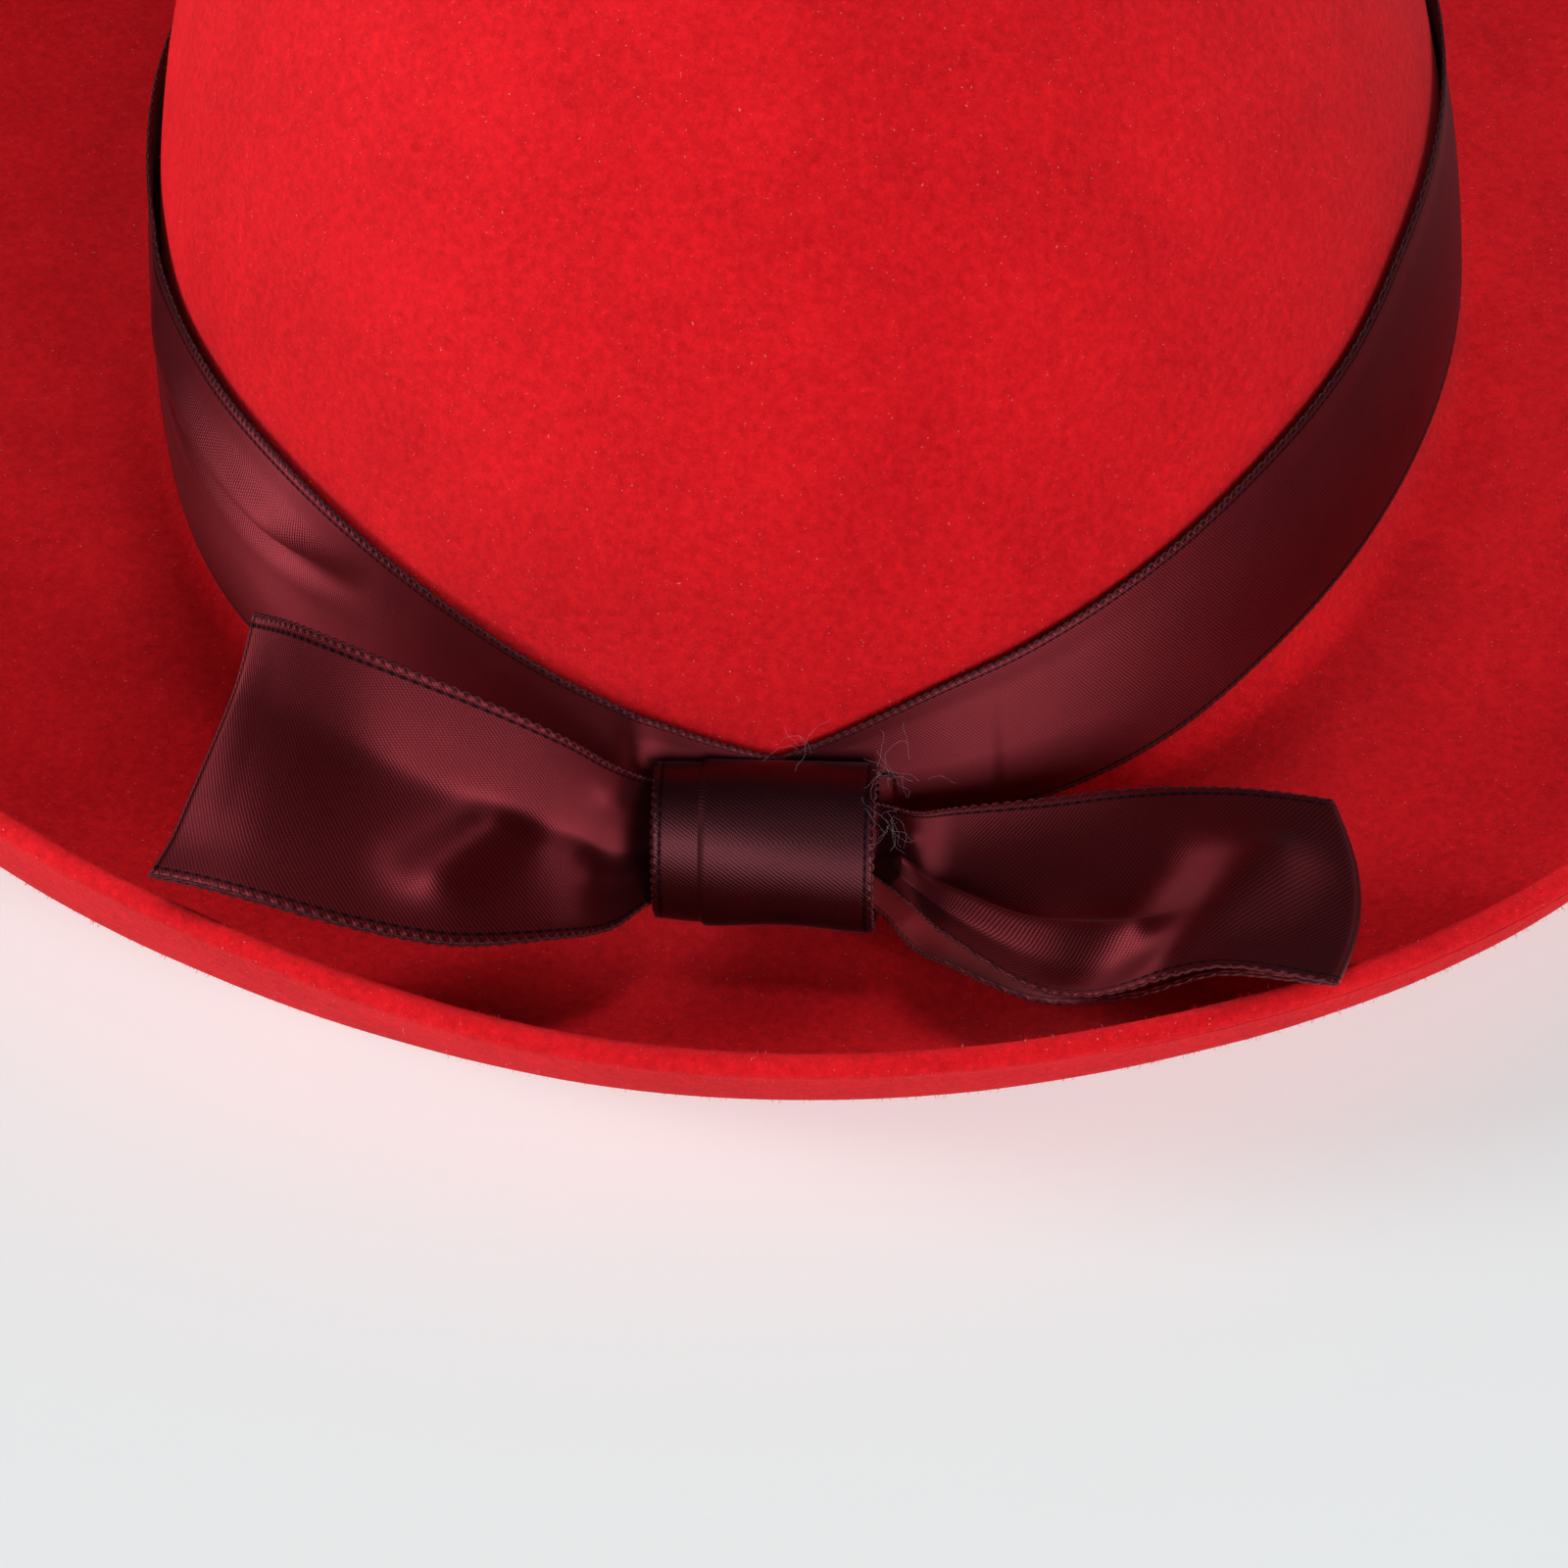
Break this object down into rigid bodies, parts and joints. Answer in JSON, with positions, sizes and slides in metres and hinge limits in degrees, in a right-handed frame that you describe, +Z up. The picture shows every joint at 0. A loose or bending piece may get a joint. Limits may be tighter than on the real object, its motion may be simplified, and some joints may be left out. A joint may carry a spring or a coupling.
{
  "type": "cloche hat",
  "caption": "Blocked felt hat with a domed crown, a full upturned brim, and a satin ribbon band with a flat ribbon bow at the front.",
  "frame": {"origin": "middle of the hat's outline on the surface that the brim's flat underside rests on", "axes": "+Z up along the crown's axis, -Y towards the front of the hat where the bow is, +X to the right of a viewer who faces the front"},
  "size_m": [0.2852, 0.3014, 0.118],
  "materials": {
    "felt": "bright red wool felt with a short matt nap",
    "ribbon": "deep burgundy double-face satin ribbon with a stitched selvedge"
  },
  "bodies": {
    "root": {"felt_body": "felt", "ribbon_band": "ribbon", "bow_loop_left": "ribbon", "bow_loop_right": "ribbon", "bow_knot": "ribbon"}
  },
  "joints": []
}
